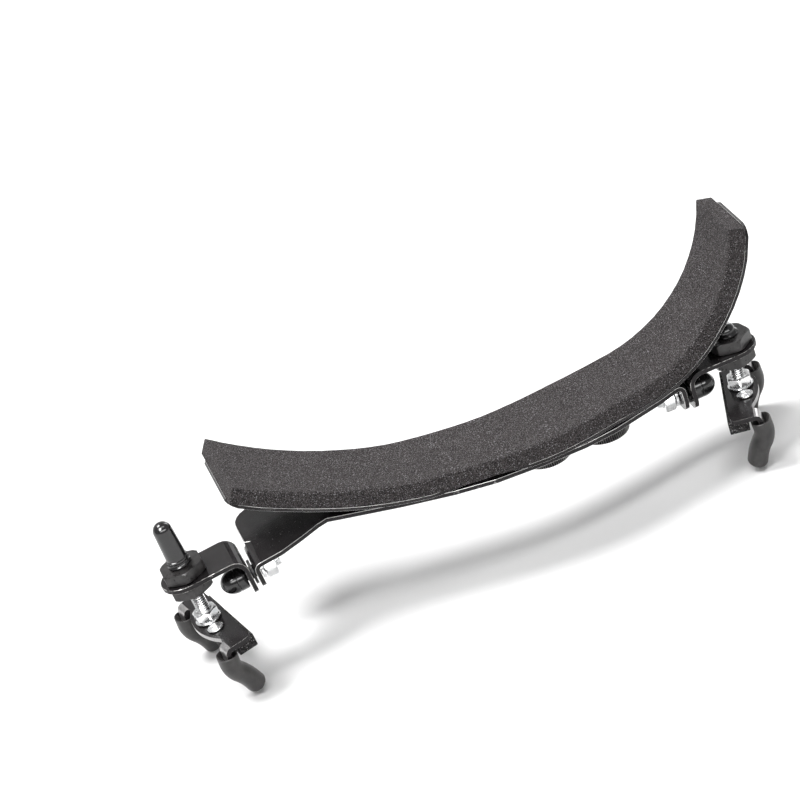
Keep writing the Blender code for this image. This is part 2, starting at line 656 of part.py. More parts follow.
def main():
    make_materials()
    stance = make_empty("stance", None, STANCE_SHIFT, (0, STANCE_TILT, 0))
    base = make_empty("base", stance)
    ends = [(end, make_end_frame(end, base)) for end in (LEFT, RIGHT)]
    make_base(base, ends)
    make_bar(make_empty("bar_slide", base))
    for end, frame in ends:
        make_tilt_joint(end, frame)
        tilt = make_empty(f"{end.name}_tilt", frame, (end.side * SCREW_X, 0, end.hinge_z))
        make_height_adjuster(end, tilt)
        make_fork(end, make_empty(f"{end.name}_height", tilt, (0, 0, end.fork_z)))


main()
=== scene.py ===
"""Violin shoulder rest: the finished surfaces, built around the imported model.

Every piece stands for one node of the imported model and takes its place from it. Lengths are
drawn in millimetres and scaled by MM when a piece is placed; the frame itself is in metres.
"""
import json
import math

import bmesh
import bpy
from mathutils import Matrix, Vector, noise
from mathutils.bvhtree import BVHTree
from mathutils.geometry import tessellate_polygon


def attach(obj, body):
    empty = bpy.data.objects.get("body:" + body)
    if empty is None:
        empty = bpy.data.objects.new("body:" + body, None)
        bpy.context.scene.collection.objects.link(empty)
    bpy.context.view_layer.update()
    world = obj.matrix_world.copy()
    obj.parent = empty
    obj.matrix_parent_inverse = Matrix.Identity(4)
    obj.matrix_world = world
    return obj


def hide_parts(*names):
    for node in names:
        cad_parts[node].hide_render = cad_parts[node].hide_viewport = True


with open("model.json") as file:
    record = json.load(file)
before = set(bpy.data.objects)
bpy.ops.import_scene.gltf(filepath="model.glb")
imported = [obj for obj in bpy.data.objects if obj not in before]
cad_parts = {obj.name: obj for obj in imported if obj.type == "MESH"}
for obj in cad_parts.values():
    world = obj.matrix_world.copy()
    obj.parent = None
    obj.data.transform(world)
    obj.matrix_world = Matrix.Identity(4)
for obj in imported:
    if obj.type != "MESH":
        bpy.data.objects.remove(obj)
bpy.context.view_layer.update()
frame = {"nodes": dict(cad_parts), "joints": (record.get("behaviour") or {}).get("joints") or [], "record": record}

MM = 0.001
ENDS = {"left": -1, "right": 1}

# Steel plates: a face with less than BROAD times the sheet behind it is a broad face
SHEET = 1.6
BROAD = 1.15
CORNER_ANGLE = 35
SHORT_EDGE = 1.2              # times the sheet: edges across the thickness are shorter
WELD = 1e-6                   # metres
RAY_REACH = 0.05              # metres
PAINT, EDGE, LINE, BARE = range(4)

# Threads and nuts
THREAD_R = 2.4
THREAD_DEPTH = 0.42
THREAD_PITCH = 0.8
BORE_R = 2.5
SMALL_FLATS = 8.0
HAND_FLATS = 14.0
UPPER_NUT_TURN = {"left": 0.0, "right": 13.0}     # degrees
THREAD_SIDES = 32
THREAD_STEPS = 8              # rings in one turn of a thread
NUT_SIDES = 96
CHAMFER_STEPS = 5

# Heads, domes and caps
STUD_HEAD = 1.2
SCREW_HEAD = 1.8
TILT_DOME = 5.0
DOME_STEPS = 18
CAP_TAPER = 0.45              # how much wider a cap is at its foot
CAP_COLLAR = 0.9              # from one moulded ring to the next
LONG_CAP = 6.0                # caps with a longer shank than this have rings

# Thumb nuts
KNURL_TEETH = 66
KNURL_DEPTH = 0.8
KNURL_STEPS = 6               # points round one tooth
KNURL_CREST = 0.3             # how far in from the rim the lighter crests, a painted highlight, reach

# Foam: how far it stands proud of its outline, its edges' rounding, how often it is refined,
# and the size and share of its broad and fine unevenness
FOAM_SWELL = 0.12
FOAM_ROUND = 0.25
FOAM_PASSES = 6
FOAM_CUT_ANGLE = 30
FOAM_WAVES = ((7, 0.6), (1.6, 0.4))

# Fork: u outwards from the height screw, v along the violin's edge, z up from the plate's top
FORK_TURN = {"left": 11.0, "right": -17.0}
FORK_ROOT = 2.4
PRONG_ROOTS = {"near": -20.7, "far": 16.5}
PRONG_WIDTH = 6.0
PRONG_PATH = ((2.4, -85), (4.0, 0), (5.0, -42), (6.0, 18), (2.4, 0))
SLEEVE_HALF = (4.4, 3.5)
SLEEVE_START = 3.4
SLEEVE_WALL = 0.7

# Camera and light
CAMERA_AT = (-0.1280, -0.9099, 0.5326)
CAMERA_AZIMUTH = 7.04
CAMERA_ELEVATION = 27.12
CAMERA_ROLL = -20.24
CAMERA_LENS = 138.6
WORLD_STRENGTH = 0.42
SKY_PANEL = 3.0
SKY_PANEL_FROM = (-0.35, 0.30, 1.0)
SKY_PANEL_ANGLE = 24
LIGHT_TARGET = (0, 0, 0.03)
# name, place, size, power, and whether it shows only in reflections
LIGHTS = (
    ("key", (-0.55, -0.35, 0.75), (0.2, 0.2), 1.2, False),
    ("overhead", (0.05, -0.30, 0.95), (0.8, 0.16), 3.0, False),
    ("rim", (0.55, 0.60, 0.45), (0.25, 0.5), 2.0, False),
    ("glint", (-0.40, -0.50, 0.80), (0.28, 0.36), 13.0, True),
    ("edge strip", (0.0, -0.85, 0.50), (1.3, 0.2), 7.0, True),
)

# Floor sweep, in metres
FLOOR_HALF = 12.0
FLOOR_BACK = 2.6
FLOOR_RISE = 1.6              # radius of the curve up to the wall
FLOOR_WALL_TOP = 3.5
FLOOR_DROP = 0.0004           # below the feet


# ---------------------------------------------------------------- materials

class Look:
    """One procedural material: a Principled shader and a few shorthands for its nodes."""

    def __init__(self, name, colour, roughness, metallic=0.0, **sockets):
        self.material = bpy.data.materials.new(name)
        self.material.use_nodes = True
        self.tree = self.material.node_tree
        self.shader = self.tree.nodes["Principled BSDF"]
        self.set("Base Color", (*colour, 1.0))
        self.set("Roughness", roughness)
        self.set("Metallic", metallic)
        for socket, value in sockets.items():
            self.set(socket.replace("_", " "), value)
        self.place = self.node("ShaderNodeTexCoord").outputs["Object"]

    def set(self, socket, value):
        self.shader.inputs[socket].default_value = value

    def node(self, kind, **values):
        node = self.tree.nodes.new(kind)
        for key, value in values.items():
            setattr(node, key, value)
        return node

    def link(self, output, target):
        self.tree.links.new(output, target)

    def noise(self, size, detail=2.0, roughness=0.5):
        """A noise whose features are about size millimetres across."""
        node = self.node("ShaderNodeTexNoise")
        node.inputs["Scale"].default_value = 1.0 / (size * MM)
        node.inputs["Detail"].default_value = detail
        node.inputs["Roughness"].default_value = roughness
        self.link(self.place, node.inputs["Vector"])
        return node.outputs["Fac"]

    def cells(self, size):
        """Distances to the middles of irregular cells about size millimetres across."""
        node = self.node("ShaderNodeTexVoronoi")
        node.inputs["Scale"].default_value = 1.0 / (size * MM)
        node.inputs["Randomness"].default_value = 1.0
        self.link(self.place, node.inputs["Vector"])
        return node.outputs["Distance"]

    def remap(self, value, low, high, out_low=0.0, out_high=1.0):
        node = self.node("ShaderNodeMapRange")
        for socket, number in zip(("From Min", "From Max", "To Min", "To Max"),
                                  (low, high, out_low, out_high)):
            node.inputs[socket].default_value = number
        self.link(value, node.inputs["Value"])
        return node.outputs["Result"]

    def math(self, operation, first, second):
        node = self.node("ShaderNodeMath", operation=operation)
        for value, socket in zip((first, second), node.inputs):
            if isinstance(value, (int, float)):
                socket.default_value = value
            else:
                self.link(value, socket)
        return node.outputs["Value"]

    def mix(self, amount, first, second):
        """A colour between two colours, each a triple or another node's output."""
        node = self.node("ShaderNodeMix", data_type="RGBA")
        self.link(amount, node.inputs["Factor"])
        for value, socket in ((first, node.inputs["A"]), (second, node.inputs["B"])):
            socket = [s for s in node.inputs if s.name == socket.name and s.type == "RGBA"][0]
            if isinstance(value, tuple):
                socket.default_value = (*value, 1.0)
            else:
                self.link(value, socket)
        return [s for s in node.outputs if s.type == "RGBA"][0]

    def drive(self, output, socket):
        self.link(output, self.shader.inputs[socket])

    def bump(self, height, depth):
        """Relief with its depth in millimetres."""
        node = self.node("ShaderNodeBump")
        node.inputs["Strength"].default_value = 1.0
        node.inputs["Distance"].default_value = depth * MM
        self.link(height, node.inputs["Height"])
        self.drive(node.outputs["Normal"], "Normal")


def foam_look(name, dark, light, speck, speck_level, cell, depth):
    """Cut open-cell foam: a sandy grain with painted shade in its low pits and paler cell walls, with bright
    specks.
    """
    look = Look(name, dark, 0.95, Specular_IOR_Level=0.2)
    grain = look.noise(cell, 1.0, 0.5)
    broad = look.noise(9.0, 2.0)
    # Colour follows the same grain as the relief, so it is darkest in the pits: painted shade there, over a random
    # broad tone.
    tone_with_pit_shade = look.math("ADD", look.remap(grain, 0.40, 0.62, 0.0, 0.9),
                     look.remap(broad, 0.3, 0.7, 0.0, 0.1))
    body = look.mix(tone_with_pit_shade, dark, light)
    specks = look.remap(look.noise(cell * 0.8, 0.0), speck_level, speck_level + 0.06)
    look.drive(look.mix(specks, body, speck), "Base Color")
    pits = look.math("ADD", look.remap(look.cells(cell * 1.5), 0.0, 0.7), grain)
    look.bump(pits, depth)
    return look.material


def paint_look():
    """Glossy black paint on steel, with faint orange peel, haze and a little dust."""
    look = Look("black_paint_surface", (0.012, 0.011, 0.012), 0.24, Specular_IOR_Level=0.34)
    haze = look.noise(6.0, 4.0, 0.6)
    dust = look.remap(look.noise(0.55, 1.0), 0.74, 0.78, 0.0, 0.5)
    paint = look.mix(haze, (0.010, 0.0085, 0.009), (0.020, 0.018, 0.019))
    look.drive(look.mix(dust, paint, (0.30, 0.29, 0.29)), "Base Color")
    look.drive(look.remap(haze, 0.3, 0.7, 0.13, 0.24), "Roughness")
    look.bump(look.noise(0.9, 2.0), 0.010)
    return look.material


def worn_look(name, bare_from, bare_to, steel_dark, steel_light, metal=1.0):
    """Paint rubbed through to steel in patches; the lower the first level, the more steel."""
    look = Look(name, steel_light, 0.35, 1.0, Specular_IOR_Level=0.2)
    patches = look.noise(3.2, 5.0, 0.65)
    bare = look.remap(patches, bare_from, bare_to)
    streaks = look.noise(0.5, 3.0)
    steel = look.mix(streaks, steel_dark, steel_light)
    look.drive(look.mix(bare, (0.016, 0.014, 0.015), steel), "Base Color")
    look.drive(look.math("MULTIPLY", bare, metal), "Metallic")
    look.drive(look.remap(streaks, 0.3, 0.7, 0.26, 0.46), "Roughness")
    look.bump(patches, 0.03)
    return look.material


def zinc_look():
    """Bright zinc plating with faint clouding and fine handling marks."""
    look = Look("zinc_surface", (0.80, 0.81, 0.82), 0.2, 1.0)
    clouds = look.noise(2.5, 4.0, 0.6)
    marks = look.noise(0.35, 3.0, 0.6)
    look.drive(look.mix(clouds, (0.66, 0.67, 0.68), (0.90, 0.90, 0.90)), "Base Color")
    look.drive(look.remap(look.math("ADD", clouds, marks), 0.7, 1.3, 0.14, 0.34), "Roughness")
    look.bump(marks, 0.008)
    return look.material


def plastic_look():
    """Satin black moulding with a fine spark-eroded grain and scuffs on it."""
    look = Look("black_plastic_surface", (0.030, 0.028, 0.029), 0.42, Specular_IOR_Level=0.4)
    grain = look.noise(0.28, 3.0, 0.6)
    scuffs = look.noise(3.0, 5.0, 0.65)
    look.drive(look.mix(look.remap(scuffs, 0.35, 0.7), (0.016, 0.015, 0.015),
                        (0.050, 0.047, 0.047)), "Base Color")
    look.drive(look.remap(scuffs, 0.3, 0.7, 0.24, 0.38), "Roughness")
    look.bump(grain, 0.020)
    return look.material


def crest_highlight_look():
    """Black moulding painted lighter grey on its crests: a painted highlight of light catching the knurl."""
    look = Look("crest_highlight_plastic_surface", (0.16, 0.155, 0.155), 0.38, Specular_IOR_Level=0.5)
    highlight_mottle = look.noise(1.6, 4.0, 0.6)
    look.drive(look.mix(look.remap(highlight_mottle, 0.35, 0.65), (0.09, 0.085, 0.085),
                        (0.24, 0.235, 0.23)), "Base Color")
    look.bump(highlight_mottle, 0.02)
    return look.material


def gloss_look():
    """Polished black, with a few soft smears in the polish."""
    look = Look("gloss_black_surface", (0.009, 0.008, 0.009), 0.2, Coat_Weight=0.3,
                Coat_Roughness=0.14)
    smears = look.noise(4.0, 3.0, 0.6)
    look.drive(look.mix(smears, (0.006, 0.006, 0.006), (0.016, 0.015, 0.016)), "Base Color")
    look.drive(look.remap(smears, 0.3, 0.7, 0.12, 0.22), "Roughness")
    look.bump(smears, 0.006)
    return look.material


def rubber_look():
    """Dark grey rubber tube, matt, with a dusty bloom and faint extrusion grain."""
    look = Look("rubber_surface", (0.055, 0.054, 0.054), 0.62, Specular_IOR_Level=0.4)
    bloom = look.noise(5.0, 4.0, 0.6)
    grain = look.noise(0.22, 2.0)
    look.drive(look.mix(look.remap(bloom, 0.3, 0.7), (0.021, 0.020, 0.020),
                        (0.050, 0.047, 0.046)), "Base Color")
    look.drive(look.remap(bloom, 0.3, 0.7, 0.36, 0.50), "Roughness")
    look.bump(look.math("ADD", grain, bloom), 0.03)
    return look.material


def floor_look():
    """Matt white studio sweep, with the slightest unevenness of paper."""
    look = Look("floor_surface", (0.86, 0.86, 0.86), 0.9)
    look.drive(look.mix(look.noise(120.0, 2.0), (0.85, 0.85, 0.85), (0.88, 0.88, 0.88)),
               "Base Color")
    return look.material


LOOKS = {
    "foam": foam_look("foam_surface", (0.008, 0.0070, 0.0072), (0.060, 0.053, 0.053),
                      (0.21, 0.20, 0.21), 0.67, 0.40, 0.14),
    "foot_foam": foam_look("foot_foam_surface", (0.008, 0.008, 0.008), (0.040, 0.038, 0.039),
                           (0.34, 0.33, 0.33), 0.70, 0.50, 0.12),
    "black_paint": paint_look(),
    "painted_edge": worn_look("painted_edge_surface", 0.64, 0.73, (0.16, 0.155, 0.155),
                              (0.40, 0.39, 0.38)),
    "worn_line": worn_look("worn_line_surface", 0.42, 0.58, (0.35, 0.34, 0.33),
                           (0.75, 0.74, 0.72)),
    "bright_line": worn_look("bright_line_surface", 0.20, 0.36, (0.74, 0.73, 0.72),
                             (0.96, 0.95, 0.93), 0.75),
    "bare_steel": worn_look("bare_steel_surface", 0.20, 0.34, (0.24, 0.235, 0.235),
                            (0.48, 0.47, 0.47)),
    "zinc": zinc_look(),
    "black_plastic": plastic_look(),
    # painted highlight on the thumb nuts' knurl crests
    "crest_highlight_plastic": crest_highlight_look(),
    "gloss_black": gloss_look(),
    "rubber": rubber_look(),
}


# ---------------------------------------------------------------- placing

NODE_BODY = {node: body for body, nodes in frame["record"]["behaviour"]["bodies"].items()
             for node in nodes}
NODE_SLOT = {row["node"]: row["material_slot"] for row in frame["record"]["subparts"]}
JOINTS = {joint["name"]: joint for joint in frame["joints"]}


def place_piece(obj, node):
    """Let a finished piece stand for its node: it rides on the same body, and the node is hidden."""
    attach(obj, NODE_BODY[node])
    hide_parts(node)
    return obj


def add_piece(node, bm, matrix, looks=None, crease=30):
    """Turn a shape drawn in millimetres into the finished piece for a node."""
    bm.transform(matrix @ Matrix.Scale(MM, 4))
    bmesh.ops.recalc_face_normals(bm, faces=bm.faces)
    mesh = bpy.data.meshes.new(node + "_fine")
    bm.to_mesh(mesh)
    bm.free()
    mesh.shade_smooth()
    mesh.set_sharp_from_angle(angle=math.radians(crease))
    for look in looks or (NODE_SLOT[node],):
        mesh.materials.append(LOOKS[look])
    obj = bpy.data.objects.new(node + "_fine", mesh)
    bpy.context.collection.objects.link(obj)
    return place_piece(obj, node)


def axes_matrix(origin, x, y, z):
    rows = Matrix((x, y, z)).transposed().to_4x4()
    rows.translation = origin
    return rows


def end_axes(name):
    """An end's own x, y and z directions, as its tilt and height joints give them."""
    x = Vector(JOINTS[f"{name}_tilt"]["axis"])
    z = Vector(JOINTS[f"{name}_height"]["axis"])
    return x, z.cross(x), z


def extent(node, origin, direction):
    """How far a node reaches along a direction from an origin, in millimetres."""
    reach = [(v.co - origin).dot(direction) / MM for v in frame["nodes"][node].data.vertices]
    return min(reach), max(reach)


def radius(node, origin, direction):
    """A node's largest distance from an axis, in millimetres."""
    return max((v.co - origin).cross(direction).length / MM
               for v in frame["nodes"][node].data.vertices)


# ---------------------------------------------------------------- shapes

def loft(rings, closed=False):
    """Skin a row of rings; a closed row comes back to its first ring, as round a bore."""
    bm = bmesh.new()
    levels = [[bm.verts.new(point) for point in ring] for ring in rings]
    pairs = list(zip(levels, levels[1:]))
    if closed:
        pairs.append((levels[-1], levels[0]))
    else:
        bm.faces.new(levels[0])
        bm.faces.new(levels[-1])
    for low, high in pairs:
        for i in range(len(low)):
            j = (i + 1) % len(low)
            bm.faces.new((low[i], low[j], high[j], high[i]))
    return bm


def ring_of(reach, height, sides):
    """A ring whose radius is a number or a function of the angle."""
    ring = []
    for i in range(sides):
        angle = 2 * math.pi * i / sides
        r = reach(angle) if callable(reach) else reach
        ring.append((r * math.cos(angle), r * math.sin(angle), height))
    return ring


def turned(profile, sides=64, closed=False):
    return loft([ring_of(r, z, sides) for r, z in profile], closed)


def arc(centre, r, start, end, steps):
    """(radius, height) points on an arc, angles in degrees."""
    angles = (math.radians(start + (end - start) * i / steps) for i in range(steps + 1))
    return [(centre[0] + r * math.cos(a), centre[1] + r * math.sin(a)) for a in angles]


def dome_rows(base, r, height):
    """(radius, height) points over a dome of a given height on a circle of radius r."""
    return [(px, base + (pz - base) * height / r)
            for px, pz in arc((0, base), r, 0, 88, DOME_STEPS)]


def hex_reach(flats, limit):
    """The radius of a hexagon cut back to a circle, as a function of the angle."""
    def reach(angle):
        from_flat = (angle + math.pi / 6) % (math.pi / 3) - math.pi / 6
        return min(flats / 2 / math.cos(from_flat), limit)
    return reach


def hex_nut(flats, low, high, bore, chamfer, corner_cut, flange=0.0):
    """A hexagon nut between two heights; its ends are turned down by corner_cut, chamfer high."""
    tip = flats / 2 / math.cos(math.pi / 6) - 0.1
    face = tip - corner_cut
    mouth = bore + 0.35
    rows = [(mouth, low)]
    if flange:
        rows += [(flats / 2 + 0.45, low), (flats / 2 + 0.6, low + 0.15),
                 (flats / 2 + 0.6, low + flange - 0.1), (flats / 2 + 0.5, low + flange)]
    foot = low + flange
    for i in range(CHAMFER_STEPS + 1):
        t = i / CHAMFER_STEPS
        rows.append((hex_reach(flats, face + (tip - face) * t), foot + chamfer * t))
    for i in range(CHAMFER_STEPS + 1):
        t = 1 - i / CHAMFER_STEPS
        rows.append((hex_reach(flats, face + (tip - face) * t), high - chamfer * t))
    rows += [(mouth, high), (bore, high - 0.4), (bore, low + 0.4)]
    return loft([ring_of(reach, height, NUT_SIDES) for reach, height in rows], closed=True)


def thread_reach(height, r, depth):
    """A screw's radius round its axis at one height: a helical V thread."""
    def reach(angle):
        phase = (height / THREAD_PITCH - angle / (2 * math.pi)) % 1.0
        return r - depth * (1 - abs(2 * phase - 1))
    return reach


def threaded_rings(low, high, chamfer_low=0.0, chamfer_high=0.5):
    """Rings of a threaded rod between two heights, chamfered at its ends."""
    steps = max(2, round((high - low) / THREAD_PITCH * THREAD_STEPS))
    rings = []
    for i in range(steps + 1):
        z = low + (high - low) * i / steps
        cut = max(0.0, chamfer_low - (z - low), chamfer_high - (high - z))
        depth = THREAD_DEPTH * max(0.0, 1 - cut / 0.6)
        rings.append(ring_of(thread_reach(z, THREAD_R - cut * 0.8, depth), z, THREAD_SIDES))
    return rings


def washer(low, high, outer, bore, soft=0.12):
    return turned([(bore, low + soft), (bore + soft, low), (outer - soft, low),
                   (outer, low + soft), (outer, high - soft), (outer - soft, high),
                   (bore + soft, high), (bore, high - soft)], closed=True)


# ---------------------------------------------------------------- sheet metal

def face_thickness(face, solid):
    """How much metal lies behind most of a face, in metres."""
    corners = [loop.vert.co for loop in face.loops]
    found = []
    for tri in tessellate_polygon([corners]):
        a, b, c = (corners[i] for i in tri)
        middle = (a + b + c) / 3 - face.normal * WELD
        hit = solid.ray_cast(middle, -face.normal, RAY_REACH)
        depth = hit[3] if hit[0] is not None else RAY_REACH
        found.append(((b - a).cross(c - a).length, depth))
    found.sort(key=lambda pair: -pair[0])
    return found[0][1] if found else 0.0


def plate_piece(node, line="worn_line", bevel=0.18, is_bare=None):
    """A steel plate: broad faces painted, sheared edges worn, and some faces bare if asked.

    Its faces are shaded flat, so the curved runs show their facets.
    """
    bm = bmesh.new()
    bm.from_mesh(frame["nodes"][node].data)
    bmesh.ops.remove_doubles(bm, verts=bm.verts, dist=WELD)
    bmesh.ops.dissolve_limit(bm, angle_limit=math.radians(1.0), verts=bm.verts, edges=bm.edges)
    bm.normal_update()
    solid = BVHTree.FromBMesh(bm)
    broad_faces = set()
    for face in bm.faces:
        broad = face_thickness(face, solid) < BROAD * SHEET * MM
        face.material_index = PAINT if broad else EDGE
        if is_bare and is_bare(face.calc_center_median(), broad):
            face.material_index = BARE
        if broad:
            broad_faces.add(face)
    softened = bm.edges.layers.float.new("bevel_weight_edge")
    for edge in bm.edges:
        corner = edge.calc_face_angle(0.0) > math.radians(CORNER_ANGLE)
        short = edge.calc_length() < SHORT_EDGE * SHEET * MM
        rim = corner and not (short and broad_faces.isdisjoint(edge.link_faces))
        edge[softened] = 1.0 if rim else 0.0
        edge.smooth = rim or not corner
    mesh = bpy.data.meshes.new(node + "_fine")
    bm.to_mesh(mesh)
    bm.free()
    for look in ("black_paint", "painted_edge", line, "bare_steel"):
        mesh.materials.append(LOOKS[look])
    obj = bpy.data.objects.new(node + "_fine", mesh)
    bpy.context.collection.objects.link(obj)
    soften = obj.modifiers.new("softened edges", "BEVEL")
    soften.width = bevel * MM
    soften.segments = 2
    soften.limit_method = "WEIGHT"
    soften.material = LINE
    level = obj.modifiers.new("weighted normals", "WEIGHTED_NORMAL")
    level.mode = "FACE_AREA"
    level.weight = 100
    level.keep_sharp = True
    return place_piece(obj, node)


# ---------------------------------------------------------------- foam

def foam_piece(node, grid, crumple):
    """A block of foam: crisp cut edges, faces faintly uneven."""
    bm = bmesh.new()
    bm.from_mesh(frame["nodes"][node].data)
    bmesh.ops.remove_doubles(bm, verts=bm.verts, dist=WELD)
    bmesh.ops.dissolve_limit(bm, angle_limit=math.radians(0.5), verts=bm.verts, edges=bm.edges)
    cuts = [edge for edge in bm.edges if edge.calc_face_angle(0.0) > math.radians(FOAM_CUT_ANGLE)]
    bmesh.ops.bevel(bm, geom=cuts, offset=FOAM_ROUND * MM, segments=2, profile=0.5,
                    affect="EDGES", clamp_overlap=True)
    bmesh.ops.triangulate(bm, faces=bm.faces)
    for _ in range(FOAM_PASSES):
        long_edges = [edge for edge in bm.edges if edge.calc_length() > grid * MM]
        bmesh.ops.subdivide_edges(bm, edges=long_edges, cuts=1)
        bmesh.ops.triangulate(bm, faces=bm.faces)
    bm.normal_update()
    normals = [vert.normal.copy() for vert in bm.verts]
    for vert, normal in zip(bm.verts, normals):
        wave = sum(noise.noise(vert.co / (size * MM)) * share for size, share in FOAM_WAVES)
        vert.co = vert.co + normal * (wave * crumple + FOAM_SWELL) * MM
    mesh = bpy.data.meshes.new(node + "_fine")
    bm.to_mesh(mesh)
    bm.free()
    mesh.shade_smooth()
    mesh.set_sharp_from_angle(angle=math.radians(40))
    mesh.materials.append(LOOKS[NODE_SLOT[node]])
    obj = bpy.data.objects.new(node + "_fine", mesh)
    bpy.context.collection.objects.link(obj)
    place_piece(obj, node)
    return obj


# ---------------------------------------------------------------- sleeves

def walk(start, heading, moves, step=0.35):
    """Follow straight runs and arcs in an upright plane: (out, z, heading, distance) rows."""
    out, z = start
    travelled = 0.0
    rows = [(out, z, heading, travelled)]
    for length, turn in moves:
        count = max(1, round(length / step))
        for _ in range(count):
            middle = math.radians(heading + turn / count / 2)
            out += length / count * math.cos(middle)
            z += length / count * math.sin(middle)
            heading += turn / count
            travelled += length / count
            rows.append((out, z, heading, travelled))
    return rows


def sleeve_ring(row, half_along, half_across, squareness=2.0, ahead=0.0, sides=40):
    """A ring round the prong's path: 2 is an ellipse, more is squarer."""
    out, z, heading, _ = row
    angle = math.radians(heading)
    out += ahead * math.cos(angle)
    z += ahead * math.sin(angle)
    ring = []
    for i in range(sides):
        turn = 2 * math.pi * (i + 0.5) / sides
        c, s = math.cos(turn), math.sin(turn)
        scale = (abs(c) ** squareness + abs(s) ** squareness) ** (-1 / squareness)
        across = half_across * s * scale
        ring.append((out - across * math.sin(angle), half_along * c * scale,
                     z + across * math.cos(angle)))
    return ring


def sleeve_bm():
    """A rubber tube on a prong: a rounded open mouth, a tight bore and a moulded closed end."""
    along, across = SLEEVE_HALF
    path = [row for row in walk((0, -SHEET / 2), 0, PRONG_PATH) if row[3] >= SLEEVE_START]
    length = path[-1][3]
    mouth, tip = path[0], path[-1]
    rings = []
    for turn in (78, 60, 40, 20, 0):
        a = math.radians(turn)
        round_off = 1.3 * (1 - math.cos(a))
        rings.append(sleeve_ring(tip, along - round_off, across - round_off,
                                 ahead=1.3 * math.sin(a) - 0.5))
    rings += [sleeve_ring(row, along, across) for row in reversed(path)
              if SLEEVE_START + 0.3 < row[3] < length - 0.6]
    for turn in (0, 30, 60, 90, 120, 150, 180):
        a = math.radians(turn)
        inset = SLEEVE_WALL / 2 * (1 - math.cos(a))
        rings.append(sleeve_ring(mouth, along - inset, across - inset, 2.0 + turn / 180,
                                 ahead=-SLEEVE_WALL / 2 * math.sin(a)))
    depth = SLEEVE_START + 2.4
    rings += [sleeve_ring(row, PRONG_WIDTH / 2 + 0.4, SHEET / 2 + 0.4 + (depth - row[3]) * 0.5, 3.5)
              for row in path if SLEEVE_START + 0.8 < row[3] < depth]
    return loft(rings)


def fork_axes(name):
    """Outward, along-the-edge and up directions of one fork, which is turned on its screw."""
    x, _, z = end_axes(name)
    x = Matrix.Rotation(math.radians(FORK_TURN[name]), 3, z) @ x
    return x * ENDS[name], z.cross(x), z


# ---------------------------------------------------------------- the pieces

def build_bar():
    plate_piece("top_plate", "bright_line", 0.48)
    foam_piece("foam_pad", 1.5, 0.07)
    for number in (1, 2):
        joint = JOINTS[f"thumb_nut_{number}_turn"]
        origin, z = Vector(joint["pos_m"]), Vector(joint["axis"])
        x = z.orthogonal().normalized()
        matrix = axes_matrix(origin, x, z.cross(x), z)
        build_stud(f"clamp_stud_{number}", matrix, origin, z)
        washer_node = f"thumb_washer_{number}"
        low, high = extent(washer_node, origin, z)
        add_piece(washer_node, washer(low, high, radius(washer_node, origin, z), BORE_R), matrix)
        build_thumb_nut(f"thumb_nut_{number}", matrix, origin, z)


def build_stud(node, matrix, origin, z):
    """A flat-headed stud, threaded below its head."""
    low, high = extent(node, origin, z)
    head_r = radius(node, origin, z)
    neck = high - STUD_HEAD
    rings = threaded_rings(low, neck - 0.4, chamfer_low=0.5, chamfer_high=0.0)
    rings += [ring_of(r, h, THREAD_SIDES) for r, h in ((THREAD_R, neck - 0.3), (THREAD_R, neck),
              (head_r - 0.15, neck), (head_r, neck + 0.15), (head_r, high - 0.3),
              (head_r - 0.3, high))]
    add_piece(node, loft(rings), matrix)


def build_thumb_nut(node, matrix, origin, z):
    """A flat round nut with a straight knurl round its rim and a dished face."""
    low, high = extent(node, origin, z)
    rim = radius(node, origin, z)

    def knurl(angle):
        return rim - KNURL_DEPTH * abs(math.sin(KNURL_TEETH * angle / 2))

    rows = [(BORE_R, low + 0.3), (BORE_R + 0.3, low), (4.4, low), (4.7, low + 0.6),
            (rim - 2.0, low + 0.6), (rim - 1.6, low), (rim - 0.9, low), (rim - 0.55, low + 0.2),
            (knurl, low + 0.4), (knurl, (low + high) / 2), (knurl, high - 0.4),
            (rim - 0.55, high - 0.2), (rim - 0.9, high), (BORE_R + 0.3, high),
            (BORE_R, high - 0.3)]
    bm = loft([ring_of(r, h, KNURL_TEETH * KNURL_STEPS) for r, h in rows], closed=True)
    for face in bm.faces:
        middle = face.calc_center_median()
        upright = max(v.co.z for v in face.verts) - min(v.co.z for v in face.verts) > 1.0
        # Crests get the lighter grey look: a painted highlight where light catches the knurl.
        if upright and middle.xy.length > rim - KNURL_CREST:
            face.material_index = 1
    add_piece(node, bm, matrix, ("black_plastic", "crest_highlight_plastic"))


def build_tilt_joint(name):
    """The bolt across the hinge with its nuts and washers, all round the tilt axis."""
    x, y, z = end_axes(name)
    out = x * ENDS[name]
    origin = Vector(JOINTS[f"{name}_tilt"]["pos_m"])
    matrix = axes_matrix(origin, z, y, out)

    low, high = extent(f"{name}_tilt_bolt", origin, out)
    add_piece(f"{name}_tilt_bolt",
              loft(threaded_rings(low, high, chamfer_low=0.6, chamfer_high=0.6)), matrix)
    low, high = extent(f"{name}_tilt_nut", origin, out)
    add_piece(f"{name}_tilt_nut", hex_nut(SMALL_FLATS, low, high, BORE_R, 0.45, 0.7), matrix)
    for place in ("inner", "outer"):
        node = f"{name}_tilt_washer_{place}"
        low, high = extent(node, origin, out)
        add_piece(node, washer(low, high, radius(node, origin, out), BORE_R), matrix)

    node = f"{name}_tilt_cap_nut"
    low, high = extent(node, origin, out)
    r = radius(node, origin, out)
    base = high - TILT_DOME
    profile = [(BORE_R, high - 2.4), (BORE_R, low), (r - 0.5, low), (r - 0.15, low + 0.12),
               (r, low + 0.45), (r, base - 0.9), (r - 0.12, base - 0.72), (r - 0.12, base - 0.55),
               (r, base - 0.37)]
    profile += dome_rows(base, r, TILT_DOME)
    add_piece(node, turned(profile), matrix)


